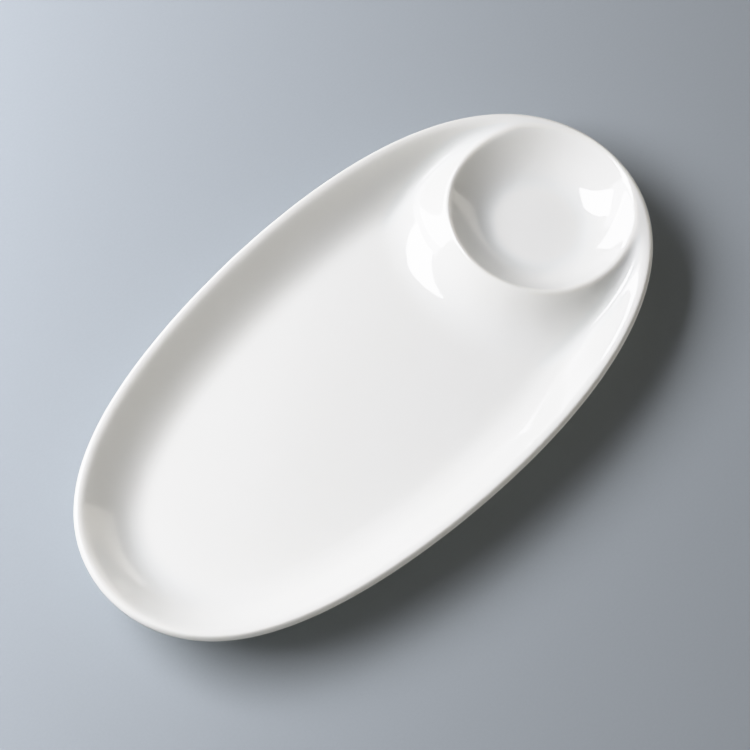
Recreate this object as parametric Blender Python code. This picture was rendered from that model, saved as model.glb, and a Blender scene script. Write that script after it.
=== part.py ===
"""Oval porcelain plate with a round sauce well at one end.

Frame: metres, +Z up, origin on the table under the middle of the oval,
+X along the length towards the well.

The plate is one fired clay body.  A clear glaze covers the eating face, the
well, the rim, the outer wall and the outside of the foot ring almost down to
the table; a second glaze patch lies inside the foot ring.  The standing edge
of the foot ring is bare clay.
"""
import math

import bpy
import numpy as np

for ob in list(bpy.data.objects):
    bpy.data.objects.remove(ob, do_unlink=True)

# ------------------------------------------------------------- dimensions, mm
HALF_LENGTH = 150.0      # oval, middle to tip
HALF_WIDTH = 79.15       # oval, middle to long side
OVAL_FULLNESS = 0.0308   # blunter tips than a true ellipse
WELL_END_WIDER = 0.0503  # the well end is a little wider than the other end
WELL_END_ROUND = 0.0396  # and draws in sooner at its tip
END_SHOULDER = 0.0431    # both ends keep their width a little longer

RIM_TOP = 29.0           # height of the lip above the table
LIP_RADIUS = 2.8         # rounding of the lip's outer side
LIP_UNDER = 2.2          # rounding of the lip's lower side
LIP_LEAN = 50.0          # lean of the outer wall under the lip, degrees from upright
LIP_BLEND = 3.2          # rounding between lip and inner wall

FLOOR_TOP = 11.92        # tray floor above the table
WALL_START = 2.0         # inner wall begins this far in from the oval
WALL_RUN = 28.99         # plan width of the inner wall
WALL_POWER = 2.559       # steep at the lip, flat at the floor
WALL_EASE = 1.277        # above 1 the wall is rounder under the lip

WELL_X = 106.2           # middle of the well
CREST_RX = 39.93         # crest of the ridge around the well, along X
CREST_RY = 41.7          # the same, along Y
CREST_TRAY = 27.67       # where the two slopes of the ridge would meet, tray side
CREST_PEAK = 27.74       # the same, at the tip
CREST_BLEND = 4.58       # rounding of the crest
RIDGE_RUN = 32.1         # plan width of the ridge's outer slope
RIDGE_POWER = 2.618
RIDGE_EASE = 1.083
RIDGE_BLEND = 2.67       # sharpness of the valley between ridge and rim wall
MERGE_BLEND = 2.99       # the same where the ridge melts into the rim
MERGE_GAP = 8.6          # room between crest and rim below which they melt
MERGE_RUN = 9.66         # and how soon the valley sharpens beyond that

WELL_FLOOR = 14.07       # well floor above the table
WELL_FLOOR_R = 19.4      # where the well floor turns up into the wall
WELL_FILLET = 3.4        # softness of that turn
WELL_POWER = 1.576       # above 1 the wall steepens towards the crest
WELL_SHIFT = 2.67        # well floor sits this far towards the tray

FOOT_INSET = 29.0        # foot ring's outer edge, in from the oval
FOOT_WIDTH = 5.0         # foot ring at its root
FOOT_FLAT = 2.6          # foot ring where it stands
FOOT_FILLET = 1.8        # the outer wall turns down into the foot ring over this
FOOT_BARE = 1.7          # bare clay on the outside of the foot ring, from the table up
UNDERSIDE = 5.8          # underside above the table
WALL_UNDER_WELL = 6.0    # clay under the ridge and the well, straight down
HOLLOW_FADE = 18.0       # the hollow under the ridge dies out towards the foot
HOLLOW_BLEND = 34.0      # rounding of the hollow's ridge

GLAZE = 0.40             # glaze thickness
GLAZE_SEAT = 0.30        # clearance between glaze and clay

RAYS = 60                # facets around

MM = 0.001


# ------------------------------------------------------------------ the oval
def oval(t):
    x = HALF_LENGTH * (np.cos(t) - OVAL_FULLNESS * np.cos(3 * t)) / (1 - OVAL_FULLNESS)
    u = x / HALF_LENGTH
    y = HALF_WIDTH * np.sin(t) * (1 + WELL_END_WIDER * u + END_SHOULDER * u * u - WELL_END_ROUND * u ** 3)
    return np.stack([x, y], -1)


def oval_tangent(t, h=1e-4):
    return (oval(t + h) - oval(t - h)) / (2 * h)


def oval_inward(t):
    g = oval_tangent(t)
    n = np.stack([-g[..., 1], g[..., 0]], -1)
    return n / np.linalg.norm(n, axis=-1, keepdims=True)


def even_stations(count):
    """Parameters that split the oval into arcs of equal length, one at the tip."""
    t = np.linspace(0, 2 * math.pi, 7201)
    p = oval(t)
    s = np.concatenate([[0], np.cumsum(np.linalg.norm(np.diff(p, axis=0), axis=1))])
    return np.interp(np.arange(count) * s[-1] / count, s, t)


def inset_of(p):
    """Distance of plan points inwards from the oval."""
    shape = p.shape[:-1]
    p = p.reshape(-1, 2)
    tt = np.linspace(0, 2 * math.pi, 361)[:-1]
    q = oval(tt)
    d2 = ((p[:, None, :] - q[None, :, :]) ** 2).sum(-1)
    t = tt[d2.argmin(1)]
    h = 1e-3
    for _ in range(6):
        o, o1, o2 = oval(t), oval_tangent(t), (oval(t + h) - 2 * oval(t) + oval(t - h)) / (h * h)
        e = o - p
        f = (e * o1).sum(-1)
        df = (o1 * o1).sum(-1) + (e * o2).sum(-1)
        t = t - np.clip(f / np.where(df > 200.0, df, 200.0), -0.02, 0.02)
    d = ((p - oval(t)) * oval_inward(t)).sum(-1)
    return d.reshape(shape)


# ------------------------------------------------------------- soft min, max
def soft_min(a, b, k):
    h = np.maximum(k - np.abs(a - b), 0) / k
    return np.minimum(a, b) - h ** 3 * k / 6


def soft_step(u):
    u = np.clip(u, 0, 1)
    return u * u * u * (u * (6 * u - 15) + 10)


# ------------------------------------------------------------ heights, in mm
def well_radius(p):
    """Radius from the well's middle, scaled so that the crest is at CREST_RX."""
    dx, dy = p[..., 0] - WELL_X, p[..., 1]
    r = np.sqrt(dx ** 2 + (dy * CREST_RX / CREST_RY) ** 2)
    shift = WELL_SHIFT * np.clip(1 - r / CREST_RX, 0, 1)
    rho = np.sqrt((dx + shift) ** 2 + (dy * CREST_RX / CREST_RY) ** 2)
    return r, rho


def bowl(rho):
    """Near zero over the well floor, then rising steadily up the well's wall."""
    e = rho - WELL_FLOOR_R
    return (np.sqrt(e * e + WELL_FILLET ** 2) + e) / 2


def inner_height(p, blend=CREST_BLEND):
    """Eating face before the lip is rounded."""
    d = inset_of(p)
    r, rho = well_radius(p)
    u = np.clip((d - WALL_START) / WALL_RUN, -0.2, 1)
    wall = (RIM_TOP + 0.5 - FLOOR_TOP) * np.maximum(1 - np.sign(u) * np.abs(u) ** WALL_EASE, 0) ** WALL_POWER
    top = CREST_TRAY + (CREST_PEAK - CREST_TRAY) * soft_step(((p[..., 0] - WELL_X) / CREST_RX + 1) / 2)
    v = np.clip((r - CREST_RX) / RIDGE_RUN, -0.4, 1)
    ridge = (top - FLOOR_TOP) * np.maximum(1 - np.sign(v) * np.abs(v) ** RIDGE_EASE, 0) ** RIDGE_POWER
    k = MERGE_BLEND + (RIDGE_BLEND - MERGE_BLEND) * soft_step((d + r - CREST_RX - MERGE_GAP) / MERGE_RUN)
    tray = FLOOR_TOP + (wall ** k + ridge ** k) ** (1 / k)
    well = WELL_FLOOR + (top - WELL_FLOOR) * (bowl(rho) / bowl(CREST_RX)) ** WELL_POWER
    return soft_min(well, tray, blend), d


def top_height(p):
    z, d = inner_height(p)
    c = np.clip(LIP_RADIUS - d, 0, LIP_RADIUS)
    cap = RIM_TOP - LIP_RADIUS + np.sqrt(LIP_RADIUS ** 2 - c ** 2)
    cap = cap + 0.06 * np.maximum(d - LIP_RADIUS, 0) ** 2
    return np.where(d < 1e-6, cap, soft_min(z, cap, LIP_BLEND * soft_step(d / LIP_RADIUS) + 1e-6))


def under_height(p, gap):
    """Underside inside the foot ring; gap is the distance to the ring."""
    z, _ = inner_height(p, HOLLOW_BLEND)
    rise = np.maximum(z - WALL_UNDER_WELL - UNDERSIDE, 0)
    rise = rise ** 2 / (rise + 1.5)
    return UNDERSIDE + rise * soft_step(gap / HOLLOW_FADE)


# -------------------------------------------------------------- surface grids
STATIONS = even_stations(RAYS)
RIM = oval(STATIONS)
INWARD = oval_inward(STATIONS)
MIDDLE = np.array([WELL_X, 0.0])
REACH = np.linalg.norm(RIM - MIDDLE, axis=1)
HEADING = (RIM - MIDDLE) / REACH[:, None]
CREST = 1 / np.sqrt((HEADING[:, 0] / CREST_RX) ** 2 + (HEADING[:, 1] / CREST_RY) ** 2)

IN_WELL = [0.30, 0.48, 0.61, 0.74, 0.87, 0.96]
OFF_CREST = [0.0, 1.5, 4.0, 8.5, 14.0, 21.0]
OFF_RIM = [26.0, 17.0, 10.5, 6.0, 3.2, 1.3, 0.35, 0.0]


def face_rings():
    """Rings of points over the eating face, from the well's middle to the oval."""
    lean = np.maximum(-(HEADING * INWARD).sum(-1), 0.2)
    free = REACH - CREST
    rings = [MIDDLE + HEADING * (CREST * f)[:, None] for f in IN_WELL]
    for off in OFF_CREST:
        rings.append(MIDDLE + HEADING * (CREST + off * np.minimum(1, 0.45 * free / OFF_CREST[-1]))[:, None])
    for off in OFF_RIM:
        span = OFF_RIM[0] / lean
        back = off / lean * np.minimum(1, 0.45 * free / span)
        rings.append(RIM - HEADING * back[:, None])
    out = []
    for k, ring in enumerate(rings):
        z = top_height(ring)
        if k == len(rings) - 1:
            z = np.full(RAYS, RIM_TOP - LIP_RADIUS)
        out.append(np.column_stack([ring, z]))
    hub = np.array([MIDDLE[0], MIDDLE[1], float(top_height(MIDDLE[None])[0])])
    return hub, out


def bezier(p0, p1, p2, p3, u):
    p0, p1, p2, p3 = (np.array(q, float) for q in (p0, p1, p2, p3))
    return (1 - u) ** 3 * p0 + 3 * u * (1 - u) ** 2 * p1 + 3 * u * u * (1 - u) * p2 + u ** 3 * p3


def outer_wall(u):
    """Outer wall section (inset, height) from the lip (u=0) to the foot ring (u=1)."""
    lean = math.radians(LIP_LEAN)
    roll = 0.14
    a = lean * min(u / roll, 1)
    below = np.array([LIP_UNDER * (1 - math.cos(a)), RIM_TOP - LIP_RADIUS - LIP_UNDER * math.sin(a)])
    if u <= roll:
        return below
    along = np.array([math.sin(lean), -math.cos(lean)])
    return bezier(below, below + 8.0 * along, (FOOT_INSET - 13.0, UNDERSIDE + 2.7),
                  (FOOT_INSET, UNDERSIDE), (u - roll) / (1 - roll))


FOOT_TURN = 1.0
while outer_wall(FOOT_TURN)[0] > FOOT_INSET - FOOT_FILLET:
    FOOT_TURN -= 0.002


def foot_side(v):
    """Outside of the foot ring (inset, height) from the outer wall (v=0) to the bare clay (v=1)."""
    return bezier(outer_wall(FOOT_TURN), (FOOT_INSET - 0.2, UNDERSIDE + 0.05),
                  (FOOT_INSET + 0.1, UNDERSIDE - 1.8), (FOOT_INSET + 0.45, FOOT_BARE), v)


def ring_at(inset, height):
    return np.column_stack([RIM + INWARD * inset, np.full(RAYS, float(height))])


def wall_rings():
    out = []
    for u in (0.07, 0.14, 0.32, 0.53, 0.76, 1.0):
        out.append(ring_at(*outer_wall(u * FOOT_TURN)))
    for v in (0.4, 0.7, 1.0):
        out.append(ring_at(*foot_side(v)))
    return out


FOOT_IN = RIM + INWARD * (FOOT_INSET + FOOT_WIDTH)
UNDER_REACH = np.linalg.norm(FOOT_IN - MIDDLE, axis=1)
UNDER_HEADING = (FOOT_IN - MIDDLE) / UNDER_REACH[:, None]
UNDER_AT = [12.0, 22.0, 31.0, 41.0, 53.0, 68.0, 78.0]


def under_rings(margin):
    """Rings over the underside, from the foot ring's inner edge to the well's middle."""
    out = []
    lean = np.maximum(-(UNDER_HEADING * INWARD).sum(-1), 0.15)
    reach = UNDER_REACH - margin / lean
    for off in [None] + UNDER_AT[::-1][1:]:
        if off is None:
            r = reach
        else:
            r = off * np.minimum(1, reach / UNDER_AT[-1])
        p = MIDDLE + UNDER_HEADING * r[:, None]
        gap = inset_of(p) - FOOT_INSET - FOOT_WIDTH
        out.append(np.column_stack([p, under_height(p, gap)]))
    hub_gap = inset_of(MIDDLE[None]) - FOOT_INSET - FOOT_WIDTH
    hub = np.array([MIDDLE[0], MIDDLE[1], float(under_height(MIDDLE[None], hub_gap)[0])])
    return out, hub


# ------------------------------------------------------------------- meshing
def strip_faces(count, rings, start=0):
    """Triangles between successive rings; the same diagonal is used in every skin."""
    faces = []
    for k in range(rings - 1):
        a, b = start + k * count, start + (k + 1) * count
        for i in range(count):
            j = (i + 1) % count
            faces.append((a + i, b + i, b + j))
            faces.append((a + i, b + j, a + j))
    return faces


def shell_normals(points, faces):
    n = np.zeros_like(points)
    for f in faces:
        q = points[list(f)]
        c = np.cross(q[1] - q[0], q[2] - q[0])
        for v in f:
            n[v] += c
    return n / np.linalg.norm(n, axis=1, keepdims=True)


def make(name, points, faces, colour, roughness, coat):
    mesh = bpy.data.meshes.new(name)
    mesh.from_pydata([tuple(float(c) * MM for c in p) for p in points], [], [tuple(int(v) for v in f) for f in faces])
    mesh.validate()
    mesh.update()
    ob = bpy.data.objects.new(name, mesh)
    bpy.context.scene.collection.objects.link(ob)
    mesh.shade_smooth()
    mesh.set_sharp_from_angle(angle=math.radians(50))
    mat = bpy.data.materials.new(name)
    mat.use_nodes = True
    b = mat.node_tree.nodes["Principled BSDF"]
    b.inputs["Base Color"].default_value = (*colour, 1.0)
    b.inputs["Roughness"].default_value = roughness
    b.inputs["Metallic"].default_value = 0.0
    b.inputs["Coat Weight"].default_value = coat
    mesh.materials.append(mat)
    return ob


# Outer skin of the glaze: eating face, lip, outer wall and outside of the foot ring.
hub, face = face_rings()
skin_rings = face + wall_rings()
skin = np.vstack([hub[None]] + skin_rings)
skin_count = len(skin_rings)
skin_faces = [(0, 1 + i, 1 + (i + 1) % RAYS) for i in range(RAYS)]
skin_faces += strip_faces(RAYS, skin_count, 1)
skin_n = shell_normals(skin, skin_faces)

# Glaze coat: that skin and its offset, closed at the edge above the foot ring.
inner = skin - GLAZE * skin_n
n_skin = len(skin)
edge = 1 + (skin_count - 1) * RAYS
coat_faces = list(skin_faces) + [tuple(reversed([v + n_skin for v in f])) for f in skin_faces]
for i in range(RAYS):
    j = (i + 1) % RAYS
    coat_faces.append((edge + i, n_skin + edge + i, n_skin + edge + j, edge + j))
make("glaze_coat", np.vstack([skin, inner]), coat_faces, (0.86, 0.86, 0.85), 0.05, 1.0)

# Underside glaze: a patch inside the foot ring and its offset upwards.
patch_rings, patch_hub = under_rings(1.2)
patch = np.vstack(patch_rings + [patch_hub[None]])
last = (len(patch_rings) - 1) * RAYS
hub_i = len(patch) - 1
patch_faces = strip_faces(RAYS, len(patch_rings))
patch_faces += [(last + (i + 1) % RAYS, last + i, hub_i) for i in range(RAYS)]
upper = patch + np.array([0, 0, GLAZE])
n_patch = len(patch)
under_faces = list(patch_faces) + [tuple(reversed([v + n_patch for v in f])) for f in patch_faces]
for i in range(RAYS):
    j = (i + 1) % RAYS
    under_faces.append((i, j, n_patch + j, n_patch + i))
make("underside_glaze", np.vstack([patch, upper]), under_faces, (0.86, 0.86, 0.85), 0.08, 1.0)

# Clay body: under the coat, round the bare foot ring, and over the patch.
depth = GLAZE + GLAZE_SEAT
clay_top = skin - depth * skin_n
clay_under = patch + np.array([0, 0, depth])
land = (FOOT_WIDTH - FOOT_FLAT) / 2
foot = [ring_at(FOOT_INSET + 0.62, FOOT_BARE - 0.75),
        ring_at(FOOT_INSET + land, 0.0),
        ring_at(FOOT_INSET + land + FOOT_FLAT, 0.0),
        ring_at(FOOT_INSET + FOOT_WIDTH, UNDERSIDE - 0.5)]
body = np.vstack([clay_top] + foot + [clay_under])
body_rings = skin_count + len(foot) + len(patch_rings)
body_faces = [(0, 1 + i, 1 + (i + 1) % RAYS) for i in range(RAYS)]
body_faces += strip_faces(RAYS, body_rings, 1)
last = 1 + (body_rings - 1) * RAYS
hub_i = len(body) - 1
body_faces += [(last + (i + 1) % RAYS, last + i, hub_i) for i in range(RAYS)]
make("porcelain_body", body, body_faces, (0.80, 0.79, 0.76), 0.65, 0.0)
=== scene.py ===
"""Looks of the oval porcelain plate with a sauce well: fine surface, glaze, floor, light and camera."""
import math

import bpy
import numpy as np
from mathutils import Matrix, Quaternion, Vector


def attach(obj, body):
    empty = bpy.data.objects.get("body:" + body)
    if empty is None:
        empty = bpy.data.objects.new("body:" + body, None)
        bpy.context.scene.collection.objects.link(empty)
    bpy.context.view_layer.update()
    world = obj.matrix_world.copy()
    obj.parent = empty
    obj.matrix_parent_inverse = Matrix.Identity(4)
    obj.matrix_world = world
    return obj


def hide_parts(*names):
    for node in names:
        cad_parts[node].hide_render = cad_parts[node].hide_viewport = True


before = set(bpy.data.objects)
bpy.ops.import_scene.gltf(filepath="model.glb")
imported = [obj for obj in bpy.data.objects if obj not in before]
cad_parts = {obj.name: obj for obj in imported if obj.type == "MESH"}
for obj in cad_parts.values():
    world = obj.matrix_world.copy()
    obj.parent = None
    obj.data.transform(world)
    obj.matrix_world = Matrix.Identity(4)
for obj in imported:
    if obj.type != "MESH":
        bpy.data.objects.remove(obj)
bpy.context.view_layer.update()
scene = bpy.context.scene

# ------------------------------------------------------------- dimensions, mm
HALF_LENGTH = 150.0
HALF_WIDTH = 79.15
OVAL_FULLNESS = 0.0308
WELL_END_WIDER = 0.0503
WELL_END_ROUND = 0.0396
END_SHOULDER = 0.0431

RIM_TOP = 29.0
LIP_RADIUS = 2.8
LIP_UNDER = 2.2
LIP_LEAN = 50.0
LIP_BLEND = 3.2

FLOOR_TOP = 11.92
WALL_START = 2.0
WALL_RUN = 28.99
WALL_POWER = 2.559
WALL_EASE = 1.277

WELL_X = 106.2
CREST_RX = 39.93
CREST_RY = 41.7
CREST_TRAY = 27.67
CREST_PEAK = 27.74
CREST_BLEND = 4.58
RIDGE_RUN = 32.1
RIDGE_POWER = 2.618
RIDGE_EASE = 1.083
RIDGE_BLEND = 2.67
MERGE_BLEND = 2.99
MERGE_GAP = 8.6
MERGE_RUN = 9.66

WELL_FLOOR = 14.07
WELL_FLOOR_R = 19.4
WELL_FILLET = 3.4
WELL_POWER = 1.576
WELL_SHIFT = 2.67

FOOT_INSET = 29.0
FOOT_WIDTH = 5.0
FOOT_FLAT = 2.6
FOOT_FILLET = 1.8
FOOT_BARE = 1.7
UNDERSIDE = 5.8
WALL_UNDER_WELL = 6.0
HOLLOW_FADE = 18.0
HOLLOW_BLEND = 34.0

GLAZE = 0.40
GLAZE_SEAT = 0.30

MM = 0.001

# ------------------------------------------------------------------ the oval
def oval(t):
    x = HALF_LENGTH * (np.cos(t) - OVAL_FULLNESS * np.cos(3 * t)) / (1 - OVAL_FULLNESS)
    u = x / HALF_LENGTH
    y = HALF_WIDTH * np.sin(t) * (1 + WELL_END_WIDER * u + END_SHOULDER * u * u - WELL_END_ROUND * u ** 3)
    return np.stack([x, y], -1)


def oval_tangent(t, h=1e-4):
    return (oval(t + h) - oval(t - h)) / (2 * h)


def oval_inward(t):
    g = oval_tangent(t)
    n = np.stack([-g[..., 1], g[..., 0]], -1)
    return n / np.linalg.norm(n, axis=-1, keepdims=True)


def even_stations(count):
    t = np.linspace(0, 2 * math.pi, 14401)
    p = oval(t)
    s = np.concatenate([[0], np.cumsum(np.linalg.norm(np.diff(p, axis=0), axis=1))])
    return np.interp(np.arange(count) * s[-1] / count, s, t)


def inset_of(p):
    """Distance of plan points inwards from the oval."""
    shape = p.shape[:-1]
    p = p.reshape(-1, 2)
    tt = np.linspace(0, 2 * math.pi, 361)[:-1]
    q = oval(tt)
    t = np.empty(len(p))
    for k in range(0, len(p), 8192):
        d2 = ((p[k:k + 8192, None, :] - q[None, :, :]) ** 2).sum(-1)
        t[k:k + 8192] = tt[d2.argmin(1)]
    h = 1e-3
    for _ in range(6):
        o, o1, o2 = oval(t), oval_tangent(t), (oval(t + h) - 2 * oval(t) + oval(t - h)) / (h * h)
        e = o - p
        f = (e * o1).sum(-1)
        df = (o1 * o1).sum(-1) + (e * o2).sum(-1)
        t = t - np.clip(f / np.where(df > 200.0, df, 200.0), -0.02, 0.02)
    d = ((p - oval(t)) * oval_inward(t)).sum(-1)
    return d.reshape(shape)


def soft_min(a, b, k):
    h = np.maximum(k - np.abs(a - b), 0) / k
    return np.minimum(a, b) - h ** 3 * k / 6


def soft_step(u):
    u = np.clip(u, 0, 1)
    return u * u * u * (u * (6 * u - 15) + 10)


# ------------------------------------------------------------ heights, in mm
def well_radius(p):
    dx, dy = p[..., 0] - WELL_X, p[..., 1]
    r = np.sqrt(dx ** 2 + (dy * CREST_RX / CREST_RY) ** 2)
    shift = WELL_SHIFT * np.clip(1 - r / CREST_RX, 0, 1)
    rho = np.sqrt((dx + shift) ** 2 + (dy * CREST_RX / CREST_RY) ** 2)
    return r, rho


def bowl(rho):
    """Near zero over the well floor, then rising steadily up the well's wall."""
    e = rho - WELL_FLOOR_R
    return (np.sqrt(e * e + WELL_FILLET ** 2) + e) / 2


def inner_height(p, blend=CREST_BLEND):
    """Eating face before the lip is rounded."""
    d = inset_of(p)
    r, rho = well_radius(p)
    u = np.clip((d - WALL_START) / WALL_RUN, -0.2, 1)
    wall = (RIM_TOP + 0.5 - FLOOR_TOP) * np.maximum(1 - np.sign(u) * np.abs(u) ** WALL_EASE, 0) ** WALL_POWER
    top = CREST_TRAY + (CREST_PEAK - CREST_TRAY) * soft_step(((p[..., 0] - WELL_X) / CREST_RX + 1) / 2)
    v = np.clip((r - CREST_RX) / RIDGE_RUN, -0.4, 1)
    ridge = (top - FLOOR_TOP) * np.maximum(1 - np.sign(v) * np.abs(v) ** RIDGE_EASE, 0) ** RIDGE_POWER
    k = MERGE_BLEND + (RIDGE_BLEND - MERGE_BLEND) * soft_step((d + r - CREST_RX - MERGE_GAP) / MERGE_RUN)
    tray = FLOOR_TOP + (wall ** k + ridge ** k) ** (1 / k)
    well = WELL_FLOOR + (top - WELL_FLOOR) * (bowl(rho) / bowl(CREST_RX)) ** WELL_POWER
    return soft_min(well, tray, blend), d


def top_height(p):
    z, d = inner_height(p)
    c = np.clip(LIP_RADIUS - d, 0, LIP_RADIUS)
    cap = RIM_TOP - LIP_RADIUS + np.sqrt(LIP_RADIUS ** 2 - c ** 2)
    cap = cap + 0.06 * np.maximum(d - LIP_RADIUS, 0) ** 2
    return np.where(d < 1e-6, cap, soft_min(z, cap, LIP_BLEND * soft_step(d / LIP_RADIUS) + 1e-6))


def under_height(p, gap):
    z, _ = inner_height(p, HOLLOW_BLEND)
    rise = np.maximum(z - WALL_UNDER_WELL - UNDERSIDE, 0)
    rise = rise ** 2 / (rise + 1.5)
    return UNDERSIDE + rise * soft_step(gap / HOLLOW_FADE)


def bezier(p0, p1, p2, p3, u):
    p0, p1, p2, p3 = (np.array(q, float) for q in (p0, p1, p2, p3))
    return (1 - u) ** 3 * p0 + 3 * u * (1 - u) ** 2 * p1 + 3 * u * u * (1 - u) * p2 + u ** 3 * p3


def outer_wall(u):
    """Outer wall section (inset, height) from the lip (u=0) to the foot ring (u=1)."""
    lean = math.radians(LIP_LEAN)
    roll = 0.14
    a = lean * min(u / roll, 1)
    below = np.array([LIP_UNDER * (1 - math.cos(a)), RIM_TOP - LIP_RADIUS - LIP_UNDER * math.sin(a)])
    if u <= roll:
        return below
    along = np.array([math.sin(lean), -math.cos(lean)])
    return bezier(below, below + 8.0 * along, (FOOT_INSET - 13.0, UNDERSIDE + 2.7),
                  (FOOT_INSET, UNDERSIDE), (u - roll) / (1 - roll))


FOOT_TURN = 1.0
while outer_wall(FOOT_TURN)[0] > FOOT_INSET - FOOT_FILLET:
    FOOT_TURN -= 0.002


def foot_side(v):
    """Outside of the foot ring (inset, height) from the outer wall (v=0) to the bare clay (v=1)."""
    return bezier(outer_wall(FOOT_TURN), (FOOT_INSET - 0.2, UNDERSIDE + 0.05),
                  (FOOT_INSET + 0.1, UNDERSIDE - 1.8), (FOOT_INSET + 0.45, FOOT_BARE), v)


# -------------------------------------------------------------- surface grids
MIDDLE = np.array([WELL_X, 0.0])


class Grid:
    """Points along rays from the well's middle to the oval, as rings."""

    def __init__(self, rays):
        self.n = rays
        self.t = even_stations(rays)
        self.rim = oval(self.t)
        self.inward = oval_inward(self.t)
        self.reach = np.linalg.norm(self.rim - MIDDLE, axis=1)
        self.heading = (self.rim - MIDDLE) / self.reach[:, None]
        self.crest = 1 / np.sqrt((self.heading[:, 0] / CREST_RX) ** 2 + (self.heading[:, 1] / CREST_RY) ** 2)

    def face(self, in_well, off_crest, off_rim, middle):
        """Rings of the eating face; in_well are distances inside the crest."""
        lean = np.maximum(-(self.heading * self.inward).sum(-1), 0.2)
        free = self.reach - self.crest
        radii = [self.crest * (1 - off / in_well[0] * (1 - 0.02)) for off in in_well]
        radii += [self.crest + off * np.minimum(1, 0.45 * free / off_crest[-1]) for off in off_crest]
        far = [self.reach - off / lean * np.minimum(1, 0.45 * free * lean / off_rim[0]) for off in off_rim]
        near = radii[-1]
        radii += [near + (far[0] - near) * k / (middle + 1) for k in range(1, middle + 1)]
        radii += far
        rings = np.array([MIDDLE + self.heading * r[:, None] for r in radii])
        z = top_height(rings)
        z[-1] = RIM_TOP - LIP_RADIUS
        out = [np.column_stack([q, w]) for q, w in zip(rings, z)]
        hub = np.array([MIDDLE[0], MIDDLE[1], float(top_height(MIDDLE[None])[0])])
        return hub, out

    def ring(self, inset, height):
        return np.column_stack([self.rim + self.inward * np.reshape(inset, (-1, 1)),
                                np.zeros(self.n) + height])

    def under(self, margin, steps):
        foot = self.rim + self.inward * (FOOT_INSET + FOOT_WIDTH)
        reach = np.linalg.norm(foot - MIDDLE, axis=1)
        heading = (foot - MIDDLE) / reach[:, None]
        lean = np.maximum(-(heading * self.inward).sum(-1), 0.15)
        reach = reach - margin / lean
        out = []
        for k in range(steps):
            r = reach * (1 - k / steps)
            p = MIDDLE + heading * r[:, None]
            gap = inset_of(p) - FOOT_INSET - FOOT_WIDTH
            out.append(np.column_stack([p, under_height(p, gap)]))
        gap = inset_of(MIDDLE[None]) - FOOT_INSET - FOOT_WIDTH
        hub = np.array([MIDDLE[0], MIDDLE[1], float(under_height(MIDDLE[None], gap)[0])])
        return out, hub


def strips(count, rings, start=0):
    i = np.arange(count)
    j = (i + 1) % count
    out = []
    for k in range(rings - 1):
        a, b = start + k * count, start + (k + 1) * count
        out.append(np.stack([a + i, b + i, b + j, a + j], 1))
    return np.concatenate(out).tolist()


def normals(points, quads, tris):
    n = np.zeros_like(points)
    q = np.array(quads)
    c = np.cross(points[q[:, 2]] - points[q[:, 0]], points[q[:, 3]] - points[q[:, 1]])
    for k in range(4):
        np.add.at(n, q[:, k], c)
    if len(tris):
        f = np.array(tris)
        c = np.cross(points[f[:, 1]] - points[f[:, 0]], points[f[:, 2]] - points[f[:, 0]])
        for k in range(3):
            np.add.at(n, f[:, k], c)
    return n / np.linalg.norm(n, axis=1, keepdims=True)


def bend_of(rings, unit):
    """Bend across the rings in 1/mm: above 0 on edges, below 0 in hollows."""
    step = rings[1:] - rings[:-1]
    size = np.linalg.norm(step, axis=-1)
    k = ((unit[1:] - unit[:-1]) * step).sum(-1) / np.maximum(size, 0.05) ** 2
    out = np.zeros(rings.shape[:2])
    out[1:-1] = (k[1:] + k[:-1]) / 2
    out[0], out[-1] = k[0], k[-1]
    for _ in range(3):
        out[1:-1] = (out[:-2] + 2 * out[1:-1] + out[2:]) / 4
        out = (np.roll(out, 1, 1) + 2 * out + np.roll(out, -1, 1)) / 4
    return out


def make(name, points, faces, node, material, bend=None):
    mesh = bpy.data.meshes.new(name)
    mesh.from_pydata((points * MM).tolist(), [], faces)
    mesh.update()
    mesh.shade_smooth()
    mesh.materials.append(material)
    if bend is not None:
        edge = mesh.attributes.new("edge", "FLOAT", "POINT")
        edge.data.foreach_set("value", soft_step((bend - 0.04) / 0.22).astype(np.float32))
        pool = mesh.attributes.new("pool", "FLOAT", "POINT")
        pool.data.foreach_set("value", soft_step((-bend - 0.008) / 0.06).astype(np.float32))
    ob = bpy.data.objects.new(name, mesh)
    scene.collection.objects.link(ob)
    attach(ob, "root")
    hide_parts(node)
    return ob


# ----------------------------------------------------------------- materials
def new_material(name):
    m = bpy.data.materials.new(name)
    m.use_nodes = True
    return m, m.node_tree, m.node_tree.nodes["Principled BSDF"]


def node(tree, kind, **values):
    n = tree.nodes.new(kind)
    for k, v in values.items():
        if k in n.inputs:
            n.inputs[k].default_value = v
        else:
            setattr(n, k, v)
    return n


def ramp(tree, fac, stops):
    n = node(tree, "ShaderNodeValToRGB")
    while len(n.color_ramp.elements) < len(stops):
        n.color_ramp.elements.new(0.5)
    for e, (pos, colour) in zip(n.color_ramp.elements, stops):
        e.position = pos
        e.color = (*colour, 1) if len(colour) == 3 else colour
    tree.links.new(fac, n.inputs["Fac"])
    return n.outputs["Color"]


def spread_over(tree, fac, lo, hi, out_lo, out_hi):
    n = node(tree, "ShaderNodeMapRange")
    n.inputs["From Min"].default_value, n.inputs["From Max"].default_value = lo, hi
    n.inputs["To Min"].default_value, n.inputs["To Max"].default_value = out_lo, out_hi
    n.clamp = True
    tree.links.new(fac, n.inputs["Value"])
    return n.outputs["Result"]


def noise(tree, co, scale, detail, rough):
    n = node(tree, "ShaderNodeTexNoise", Scale=scale, Detail=detail, Roughness=rough)
    tree.links.new(co, n.inputs["Vector"])
    return n.outputs["Fac"]


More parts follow.
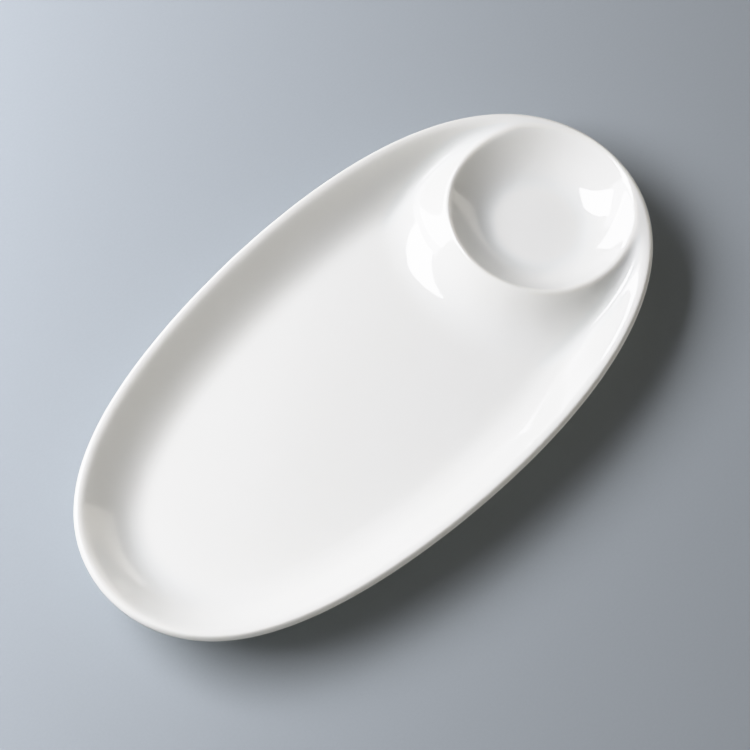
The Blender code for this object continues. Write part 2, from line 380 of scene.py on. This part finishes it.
def mixed(tree, kind, fac, a, b):
    n = node(tree, "ShaderNodeMix", data_type="RGBA", blend_type=kind)
    for value, socket in ((fac, n.inputs[0]), (a, n.inputs[6]), (b, n.inputs[7])):
        if isinstance(value, (int, float)):
            socket.default_value = value
        elif isinstance(value, tuple):
            socket.default_value = (*value, 1)
        else:
            tree.links.new(value, socket)
    return n.outputs[2]


def maths(tree, op, a, b):
    n = node(tree, "ShaderNodeMath", operation=op)
    for value, socket in ((a, n.inputs[0]), (b, n.inputs[1])):
        if isinstance(value, (int, float)):
            socket.default_value = value
        else:
            tree.links.new(value, socket)
    return n.outputs[0]


WHITE_LOW = (0.893, 0.888, 0.828)
WHITE_HIGH = (0.907, 0.903, 0.850)
THIN = (0.905, 0.893, 0.822)
POOLED = (0.868, 0.882, 0.842)


def glaze_material(name, edges):
    m, tree, b = new_material(name)
    co = node(tree, "ShaderNodeTexCoord").outputs["Object"]
    # white body seen through clear glaze, in large soft clouds
    colour = ramp(tree, noise(tree, co, 16.0, 3.0, 0.55), [(0.30, WHITE_LOW), (0.70, WHITE_HIGH)])
    if edges:
        # glaze runs thin and warm over edges, gathers greenish in hollows
        thin = node(tree, "ShaderNodeAttribute", attribute_name="edge").outputs["Fac"]
        pool = node(tree, "ShaderNodeAttribute", attribute_name="pool").outputs["Fac"]
        patchy = spread_over(tree, noise(tree, co, 120.0, 2.0, 0.5), 0.35, 0.65, 0.35, 1.0)
        colour = mixed(tree, "MIX", maths(tree, "MULTIPLY", thin, patchy), colour, THIN)
        colour = mixed(tree, "MIX", maths(tree, "MULTIPLY", pool, 0.7), colour, POOLED)
    # a few pin specks: one cell in many has a dark dot
    cell = node(tree, "ShaderNodeTexVoronoi", Scale=62.0, feature="F1")
    tree.links.new(co, cell.inputs["Vector"])
    chosen = node(tree, "ShaderNodeSeparateColor")
    tree.links.new(cell.outputs["Color"], chosen.inputs["Color"])
    some = maths(tree, "GREATER_THAN", chosen.outputs["Red"], 0.93)
    size = spread_over(tree, chosen.outputs["Green"], 0.0, 1.0, 0.008, 0.022)
    dot = maths(tree, "LESS_THAN", cell.outputs["Distance"], size)
    speck = maths(tree, "MULTIPLY", some, dot)
    colour = mixed(tree, "MIX", maths(tree, "MULTIPLY", speck, 0.32), colour, (0.40, 0.36, 0.30))
    tree.links.new(colour, b.inputs["Base Color"])
    # gloss with faint handling haze
    haze = maths(tree, "ADD", spread_over(tree, noise(tree, co, 38.0, 5.0, 0.65), 0.30, 0.72, 0.030, 0.062),
                 spread_over(tree, noise(tree, co, 420.0, 2.0, 0.5), 0.3, 0.7, 0.0, 0.014))
    tree.links.new(haze, b.inputs["Roughness"])
    # slow waviness of a dipped glaze, then a finer skin
    wave = node(tree, "ShaderNodeBump", Strength=1.0, Distance=0.000035)
    tree.links.new(noise(tree, co, 42.0, 1.0, 0.4), wave.inputs["Height"])
    skin = node(tree, "ShaderNodeBump", Strength=1.0, Distance=0.000003)
    tree.links.new(noise(tree, co, 330.0, 2.0, 0.5), skin.inputs["Height"])
    tree.links.new(wave.outputs["Normal"], skin.inputs["Normal"])
    tree.links.new(skin.outputs["Normal"], b.inputs["Normal"])
    b.inputs["IOR"].default_value = 1.5
    return m


def clay_material(name):
    m, tree, b = new_material(name)
    co = node(tree, "ShaderNodeTexCoord").outputs["Object"]
    grain = noise(tree, co, 1100.0, 4.0, 0.65)
    colour = ramp(tree, grain, [(0.25, (0.63, 0.60, 0.54)), (0.60, (0.77, 0.75, 0.70)), (0.85, (0.82, 0.80, 0.76))])
    # the standing edge is rubbed grey in places
    rub = spread_over(tree, noise(tree, co, 55.0, 4.0, 0.6), 0.48, 0.66, 0.0, 0.35)
    colour = mixed(tree, "MIX", rub, colour, (0.50, 0.48, 0.45))
    tree.links.new(colour, b.inputs["Base Color"])
    tree.links.new(spread_over(tree, grain, 0.3, 0.7, 0.62, 0.88), b.inputs["Roughness"])
    bump = node(tree, "ShaderNodeBump", Strength=0.8, Distance=0.00006)
    tree.links.new(grain, bump.inputs["Height"])
    tree.links.new(bump.outputs["Normal"], b.inputs["Normal"])
    return m


glaze = glaze_material("white_glaze", True)
under_glaze = glaze_material("white_glaze_under", False)
clay = clay_material("bare_clay")


# ------------------------------------------------------------------ the plate
def spread(length, count, power):
    return [length * (k / count) ** power for k in range(count + 1)]


def lip_offsets(count):
    """Insets over the rounded outer half of the lip, dense where it turns down."""
    return [LIP_RADIUS * (1 - math.cos(math.pi / 2 * k / count)) for k in range(count, -1, -1)]


g = Grid(560)
in_well = spread(CREST_RX, 44, 1.5)[:0:-1]
off_crest = spread(36.0, 36, 1.5)
off_rim = [LIP_RADIUS + w for w in spread(32.0, 38, 1.4)][:0:-1] + lip_offsets(14)
hub, face = g.face(in_well, off_crest, off_rim, 6)
wall = [g.ring(*outer_wall(FOOT_TURN * (k / 24) ** 1.15)) for k in range(1, 25)]
wall += [g.ring(*foot_side(k / 8)) for k in range(1, 8)]
# the glaze ends near the table in a slightly wandering line
drift = 0.16 * np.sin(3 * g.t + 0.7) + 0.12 * np.sin(7 * g.t + 2.1) + 0.08 * np.sin(13 * g.t + 4.0) + 0.05 * np.sin(29 * g.t)
end = foot_side(1.0)
turn = [g.ring(end[0] - 0.05 * drift, end[1] + drift), g.ring(end[0] + 0.20, end[1] + drift - 0.08),
        g.ring(end[0] + 0.40, end[1] + drift + 0.10)]
skin_rings = face + wall + turn
skin = np.vstack([hub[None]] + skin_rings)
quads = strips(g.n, len(skin_rings), 1)
tris = [[0, 1 + i, 1 + (i + 1) % g.n] for i in range(g.n)]
unit = normals(skin, quads, tris)
bend = bend_of(np.array(skin_rings), unit[1:].reshape(len(skin_rings), g.n, 3))
make("plate_glaze", skin, quads + tris, "glaze_coat", glaze, np.concatenate([[0.0], bend.ravel()]))

u = Grid(300)
patch_rings, patch_hub = u.under(1.2, 44)
edge = patch_rings[0] + np.array([0, 0, GLAZE])
patch = np.vstack([edge] + patch_rings + [patch_hub[None]])
quads = strips(u.n, len(patch_rings) + 1)
last = len(patch_rings) * u.n
tris = [[last + (i + 1) % u.n, last + i, len(patch) - 1] for i in range(u.n)]
make("plate_underside_glaze", patch, quads + tris, "underside_glaze", under_glaze)

c = Grid(360)
hub, face = c.face(spread(CREST_RX, 12, 1.2)[:0:-1], spread(30.0, 12, 1.3),
                   [LIP_RADIUS + w for w in spread(30.0, 12, 1.3)][:0:-1] + lip_offsets(5), 2)
wall = [c.ring(*outer_wall(FOOT_TURN * k / 12)) for k in range(1, 13)] + [c.ring(*foot_side(k / 5)) for k in range(1, 6)]
rings = face + wall
top = np.vstack([hub[None]] + rings)
tq = strips(c.n, len(rings), 1)
tt = [[0, 1 + i, 1 + (i + 1) % c.n] for i in range(c.n)]
top = top - (GLAZE + GLAZE_SEAT) * normals(top, tq, tt)
land = (FOOT_WIDTH - FOOT_FLAT) / 2
foot = [c.ring(FOOT_INSET + 0.52, FOOT_BARE - 0.50), c.ring(FOOT_INSET + 0.58, FOOT_BARE - 0.75)]
for k in range(0, 6):
    v = k / 5 * math.pi / 2
    foot.append(c.ring(FOOT_INSET + 0.64 + (land - 0.64) * (1 - math.cos(v)), 0.6 - 0.6 * math.sin(v)))
for k in range(0, 6):
    v = (5 - k) / 5 * math.pi / 2
    foot.append(c.ring(FOOT_INSET + FOOT_WIDTH - land * 0.5 - land * 0.5 * (1 - math.cos(v)), 0.6 - 0.6 * math.sin(v)))
foot += [c.ring(FOOT_INSET + FOOT_WIDTH - land * 0.25, UNDERSIDE * 0.5), c.ring(FOOT_INSET + FOOT_WIDTH, UNDERSIDE - 0.5)]
below, below_hub = c.under(1.2, 16)
below = [r + np.array([0, 0, GLAZE + GLAZE_SEAT]) for r in below]
below_hub = below_hub + np.array([0, 0, GLAZE + GLAZE_SEAT])
body = np.vstack([top] + foot + below + [below_hub[None]])
count = len(rings) + len(foot) + len(below)
quads = strips(c.n, count, 1)
last = 1 + (count - 1) * c.n
tris = tt + [[last + (i + 1) % c.n, last + i, len(body) - 1] for i in range(c.n)]
make("plate_clay_body", body, quads + tris, "porcelain_body", clay)

# --------------------------------------------------- the floor and its backdrop
FLOOR_R, BACK_R, COVE_R, BACK_TOP = 1.2, 1.9, 0.45, 1.1
FLOOR_COLOUR = (0.387, 0.421, 0.436)
BACK_GLOW = 0.30

floor_mat, tree, b = new_material("floor")
co = node(tree, "ShaderNodeTexCoord").outputs["Object"]
paper = noise(tree, co, 900.0, 3.0, 0.6)
tone = tuple(v * 0.985 for v in FLOOR_COLOUR), tuple(v * 1.015 for v in FLOOR_COLOUR)
tree.links.new(ramp(tree, paper, [(0.3, tone[0]), (0.7, tone[1])]), b.inputs["Base Color"])
bump = node(tree, "ShaderNodeBump", Strength=0.25, Distance=0.00004)
tree.links.new(paper, bump.inputs["Height"])
tree.links.new(bump.outputs["Normal"], b.inputs["Normal"])
# painted glow: far from the plate the floor material emits light of its own, rising from 0.7 m out to 1.9 m, so the
# backdrop looks lit
level = node(tree, "ShaderNodeVectorMath", operation="LENGTH")
flat = node(tree, "ShaderNodeVectorMath", operation="MULTIPLY")
flat.inputs[1].default_value = (1, 1, 0)
tree.links.new(co, flat.inputs[0])
tree.links.new(flat.outputs["Vector"], level.inputs[0])
tree.links.new(spread_over(tree, level.outputs["Value"], 0.7, 1.9, 0.0, BACK_GLOW), b.inputs["Emission Strength"])
b.inputs["Emission Color"].default_value = (0.92, 0.97, 1.0, 1)
b.inputs["Roughness"].default_value = 0.7
b.inputs["Specular IOR Level"].default_value = 0.2
SIDES = 96


def turned(name, profile):
    """Surface of revolution about Z; a profile that starts on the axis is closed there."""
    round_it = lambda r, z: [(r * math.cos(2 * math.pi * k / SIDES), r * math.sin(2 * math.pi * k / SIDES), z) for k in range(SIDES)]
    closed = profile[0][0] == 0
    verts = [(0.0, 0.0, profile[0][1])] if closed else []
    for r, z in profile[closed:]:
        verts += round_it(r, z)
    faces = [(0, 1 + k, 1 + (k + 1) % SIDES) for k in range(SIDES)] if closed else []
    faces += strips(SIDES, len(profile) - closed, int(closed))
    mesh = bpy.data.meshes.new(name)
    mesh.from_pydata(verts, [], faces)
    mesh.shade_smooth()
    mesh.materials.append(floor_mat)
    ob = bpy.data.objects.new(name, mesh)
    scene.collection.objects.link(ob)
    return ob


turned("floor", [(FLOOR_R * k / 12, 0.0) for k in range(13)])
bend = [k / 12 * math.pi / 2 for k in range(1, 13)]
backdrop = turned("backdrop", [(FLOOR_R + (BACK_R - FLOOR_R) * k / 6, 0.0) for k in range(7)]
                  + [(BACK_R + COVE_R * math.sin(v), COVE_R * (1 - math.cos(v))) for v in bend]
                  + [(BACK_R + COVE_R, COVE_R + (BACK_TOP - COVE_R) * k / 4) for k in range(1, 5)])
# the backdrop is only seen: it throws no light on the plate and stops none of the far panels
backdrop.visible_diffuse = False
backdrop.visible_glossy = False
backdrop.visible_shadow = False

# ------------------------------------------------------------------ the camera
AZ, EL, DIST, FOCAL = -45.03, 65.63, 0.900, 2038.5
TARGET = Vector((0.00598, 0.00331, 0.0))
a, e = math.radians(AZ), math.radians(EL)
back = Vector((math.sin(a) * math.cos(e), -math.cos(a) * math.cos(e), math.sin(e)))
cam_data = bpy.data.cameras.new("camera")
cam_data.sensor_width = 36.0
cam_data.lens = FOCAL / 750.0 * 36.0
cam_data.clip_start, cam_data.clip_end = 0.01, 20.0
cam = bpy.data.objects.new("camera", cam_data)
cam.location = TARGET + back * DIST
cam.rotation_mode = "QUATERNION"
cam.rotation_quaternion = (-back).to_track_quat("-Z", "Y")
scene.collection.objects.link(cam)
scene.camera = cam
RIGHT = Vector((math.cos(a), math.sin(a), 0.0))
AWAY = Vector((-math.sin(a), math.cos(a), 0.0))   # level, away from the viewer


# ------------------------------------------------------------------- the light
def softbox(name, bearing, height, dist, width, tall, watts, colour, roll=0.0, tilt=0.0, swing=0.0):
    """Flat soft panel; bearing is measured from the viewer's right towards the back, in degrees."""
    light = bpy.data.lights.new(name, "AREA")
    light.shape = "RECTANGLE"
    light.size, light.size_y = width, tall
    light.energy = watts
    light.color = colour
    ob = bpy.data.objects.new(name, light)
    p, q = math.radians(bearing), math.radians(height)
    way = RIGHT * (math.cos(p) * math.cos(q)) + AWAY * (math.sin(p) * math.cos(q)) + Vector((0, 0, math.sin(q)))
    ob.location = way * dist
    ob.rotation_mode = "QUATERNION"
    ob.rotation_quaternion = ((-way).to_track_quat("-Z", "Y") @ Quaternion((0, 0, 1), math.radians(roll))
                              @ Quaternion((1, 0, 0), math.radians(tilt)) @ Quaternion((0, 1, 0), math.radians(swing)))
    ob.visible_camera = False
    scene.collection.objects.link(ob)
    return ob


KEY = (0.925, 0.928, 1.0)
FILL = (1.0, 0.952, 0.895)
key = softbox("key", 169.5, 42.5, 0.980, 0.780, 0.640, 15.45, KEY, 0.2, -32.7, 3.1)
softbox("key_wide", 169.5, 42.5, 1.000, 1.493, 1.257, 1.26, KEY, 0.2, -32.7, 3.1)
side = softbox("side", 136.2, 19.4, 1.0, 0.500, 0.300, 0.560, KEY)
card = softbox("card", -9.7, 6.1, 3.0, 4.5, 0.66, 26.0, FILL)
front = softbox("front", 290.0, 9.0, 3.0, 2.4, 0.75, 3.2, FILL)
softbox("top", 90.0, 90.0, 1.6, 1.6, 1.6, 0.9, FILL)

# the large panels give the shading; what the glaze mirrors are four panels of their own
window = softbox("window", 158.0, 46.5, 1.05, 0.40, 0.64, 14.0, KEY)
gleam = softbox("gleam", 145.5, 10.0, 1.0, 1.0, 0.42, 13.0, KEY)
bridge = softbox("bridge", 154.0, 25.5, 1.02, 0.62, 0.20, 1.7, KEY)
sheen = softbox("sheen", 43.0, 8.5, 1.0, 0.85, 0.45, 2.5, FILL, -15.0)
for panel in (key, side, card, front):
    panel.visible_glossy = False
for panel in (window, gleam, bridge, sheen):
    panel.visible_diffuse = False

world = bpy.data.worlds.new("studio")
scene.world = world
world.use_nodes = True
world.node_tree.nodes["Background"].inputs["Color"].default_value = (1.0, 0.975, 0.92, 1)
world.node_tree.nodes["Background"].inputs["Strength"].default_value = 0.022

scene.view_settings.view_transform = "Standard"
scene.view_settings.look = "None"
# soft shoulder, as a photograph has: whites close up gently instead of clipping
SHOULDER = 0.703
scene.view_settings.use_curve_mapping = True
tone = scene.view_settings.curve_mapping
tone.use_clip = True
tone.clip_min_x, tone.clip_min_y, tone.clip_max_x, tone.clip_max_y = 0.0, 0.0, 4.0, 4.0
tone.extend = "HORIZONTAL"
curve = tone.curves[3]
stops = [SHOULDER * k / 2 for k in range(1, 3)] + [SHOULDER + (1 - SHOULDER) * k * 0.4 for k in range(1, 13)]
curve.points[0].location = (0.0, 0.0)
curve.points[-1].location = (4.0, 1.0)
for v in stops:
    over = max(v - SHOULDER, 0.0)
    curve.points.new(v, v if over == 0 else SHOULDER + (1 - SHOULDER) * (1 - math.exp(-over / (1 - SHOULDER))))
for q in curve.points:
    q.handle_type = "VECTOR"
for k in range(3):
    tone.curves[k].points[-1].location = (4.0, 4.0)
tone.update()
scene.cycles.use_denoising = True
